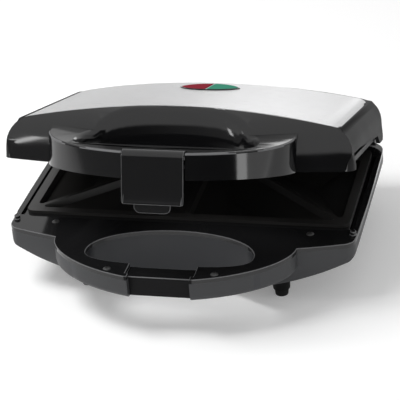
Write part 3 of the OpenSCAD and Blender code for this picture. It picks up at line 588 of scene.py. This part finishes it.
# Floor: a plain white sheet under the feet. What a camera, a reflection or a clear piece sees of it
# glows a little, so that it stays white next to the white room.
floor_size = 3.2
floor_colour = (0.86, 0.86, 0.86, 1)
floor_glow = 0.2
bpy.ops.mesh.primitive_plane_add(size=floor_size, location=(0.0, 0.0, 0.0))
floor = bpy.context.object
floor.name = "floor"
floor_white = bpy.data.materials.new("floor_white")
floor_white.use_nodes = True
floor_tree = floor_white.node_tree
floor_tree.nodes.clear()


def maths(tree, operation, first, second):
    """One math node on a socket and a second socket or number."""
    node = tree.nodes.new("ShaderNodeMath")
    node.operation = operation
    tree.links.new(first, node.inputs[0])
    if isinstance(second, float):
        node.inputs[1].default_value = second
    else:
        tree.links.new(second, node.inputs[1])
    return node.outputs[0]


floor_ray = floor_tree.nodes.new("ShaderNodeLightPath").outputs
seen = maths(floor_tree, "MAXIMUM", floor_ray["Is Camera Ray"], floor_ray["Is Glossy Ray"])
seen = maths(floor_tree, "MAXIMUM", seen, floor_ray["Is Transmission Ray"])
lit = floor_tree.nodes.new("ShaderNodeBsdfDiffuse")
lit.inputs["Color"].default_value = floor_colour
glowing = floor_tree.nodes.new("ShaderNodeEmission")
floor_tree.links.new(maths(floor_tree, "MULTIPLY", seen, floor_glow), glowing.inputs["Strength"])
both = floor_tree.nodes.new("ShaderNodeAddShader")
floor_tree.links.new(lit.outputs[0], both.inputs[0])
floor_tree.links.new(glowing.outputs[0], both.inputs[1])
floor_out = floor_tree.nodes.new("ShaderNodeOutputMaterial")
floor_tree.links.new(both.outputs[0], floor_out.inputs["Surface"])
floor.data.materials.append(floor_white)
bpy.ops.object.select_all(action="DESELECT")

# Room: soft white all round, and plain white behind the object. For reflections alone it is bright
# overhead and at the rear and dark low in front, as behind a camera, so that the polished black
# shows where its faces turn.
room = bpy.data.worlds.new("room")
bpy.context.scene.world = room
room.use_nodes = True
room_tree = room.node_tree
room_tree.nodes.clear()


def ramp(value, start, end, low=0.0, high=1.0):
    """A smooth step from low to high, between two values of a socket."""
    step = room_tree.nodes.new("ShaderNodeMapRange")
    step.interpolation_type = "SMOOTHSTEP"
    step.inputs["From Min"].default_value = start
    step.inputs["From Max"].default_value = end
    step.inputs["To Min"].default_value = low
    step.inputs["To Max"].default_value = high
    room_tree.links.new(value, step.inputs["Value"])
    return step.outputs["Result"]


def white_light(strength):
    """A white background whose strength is a number or comes from a socket."""
    light = room_tree.nodes.new("ShaderNodeBackground")
    light.inputs["Color"].default_value = (1, 1, 1, 1)
    if isinstance(strength, float):
        light.inputs["Strength"].default_value = strength
    else:
        room_tree.links.new(strength, light.inputs["Strength"])
    return light.outputs[0]


def chosen(share, first, second):
    """The first light, or the second where the share is one."""
    mix = room_tree.nodes.new("ShaderNodeMixShader")
    room_tree.links.new(share, mix.inputs["Fac"])
    room_tree.links.new(first, mix.inputs[1])
    room_tree.links.new(second, mix.inputs[2])
    return mix.outputs[0]


way = room_tree.nodes.new("ShaderNodeTexCoord").outputs["Generated"]
split = room_tree.nodes.new("ShaderNodeSeparateXYZ")
room_tree.links.new(way, split.inputs["Vector"])
to_right, to_rear = split.outputs["X"], split.outputs["Y"]
ceiling_lean = (-0.12, 0.0, 1.0)
tilted = room_tree.nodes.new("ShaderNodeVectorMath")
tilted.operation = "DOT_PRODUCT"
tilted.inputs[1].default_value = ceiling_lean
room_tree.links.new(way, tilted.inputs[0])
overhead = ramp(tilted.outputs["Value"], start=0.52, end=0.64)
left_side = ramp(to_right, start=-0.7, end=0.2, low=0.6, high=1.0)
right_side = ramp(to_right, start=0.2, end=0.75, low=1.0, high=0.72)
sides = maths(room_tree, "MULTIPLY", left_side, right_side)
rear = maths(room_tree, "MULTIPLY", ramp(to_rear, start=-0.25, end=0.1), sides)
front = ramp(to_right, start=-0.9, end=0.5, low=0.25, high=0.03)
mirrored = maths(room_tree, "MAXIMUM", maths(room_tree, "MAXIMUM", overhead, rear), front)
room_glow = 0.52
backdrop_glow = 1.0
room_ray = room_tree.nodes.new("ShaderNodeLightPath").outputs
unmirrored = maths(room_tree, "MAXIMUM", room_ray["Is Camera Ray"], room_ray["Is Transmission Ray"])
room_light = chosen(room_ray["Is Glossy Ray"], white_light(room_glow), white_light(mirrored))
room_out = room_tree.nodes.new("ShaderNodeOutputWorld")
whole_room = chosen(unmirrored, room_light, white_light(backdrop_glow))
room_tree.links.new(whole_room, room_out.inputs["Surface"])


# Lamps: one large soft box at the upper left lights the object and casts its shadow, and four
# weaker ones stand where the polished black mirrors them.
lid_middle = Vector((0.0, -0.03, 0.1))


def softbox(name, turned, raised, away, size, power, mirrored=True):
    """A lamp that stands away from the lid's middle, turned from straight in front and raised."""
    lamp = bpy.data.lights.new(name, "AREA")
    lamp.shape = "RECTANGLE"
    lamp.size, lamp.size_y = size
    lamp.energy = power
    holder = bpy.data.objects.new(name, lamp)
    bpy.context.scene.collection.objects.link(holder)
    turn, lift = math.radians(turned), math.radians(raised)
    out = Vector((math.sin(turn) * math.cos(lift), -math.cos(turn) * math.cos(lift), math.sin(lift)))
    holder.location = lid_middle + out * away
    holder.rotation_euler = out.to_track_quat("Z", "Y").to_euler()
    holder.visible_glossy = mirrored
    holder.visible_camera = False


softbox("overhead", turned=-75, raised=60, away=1.2, size=(0.6, 0.5), power=10.5, mirrored=False)
softbox("left_strip", turned=-64, raised=28, away=1.2, size=(0.07, 0.28), power=0.6)
softbox("right_strip", turned=48, raised=3, away=1.2, size=(0.16, 0.3), power=0.7)
softbox("right_panel", turned=68, raised=2, away=1.4, size=(0.8, 0.4), power=1.2)
softbox("rear", turned=185, raised=8, away=1.6, size=(0.35, 0.4), power=0.8)

# Camera: solved from the photograph. It looks at the deck at the plates' front edge, from the right
# and above and rolled a little, with the picture's centre shifted.
deck_z = 0.045
turned, raised, rolled = (math.radians(degrees) for degrees in (15.28, 28.39, -4.67))
distance = 1.25876
focal_px, frame_px, sensor_mm = 1848.96, 400, 36.0
centre_px = (-15.62, 20.39)
back = Vector((math.sin(turned) * math.cos(raised), -math.cos(turned) * math.cos(raised),
               math.sin(raised)))
right = Vector((math.cos(turned), math.sin(turned), 0))
up = back.cross(right)
level_right = right * math.cos(rolled) + up * math.sin(rolled)
level_up = up * math.cos(rolled) - right * math.sin(rolled)
camera_data = bpy.data.cameras.new("camera")
camera_data.sensor_width = sensor_mm
camera_data.lens = focal_px / frame_px * sensor_mm
camera_data.shift_x = -centre_px[0] / frame_px
camera_data.shift_y = centre_px[1] / frame_px
camera = bpy.data.objects.new("camera", camera_data)
bpy.context.scene.collection.objects.link(camera)
aim = Vector((0, plates_front_y, deck_z))
turn = Matrix((level_right, level_up, back)).transposed().to_4x4()
camera.matrix_world = Matrix.Translation(aim + back * distance) @ turn
bpy.context.scene.camera = camera
bpy.context.scene.view_settings.view_transform = "Standard"
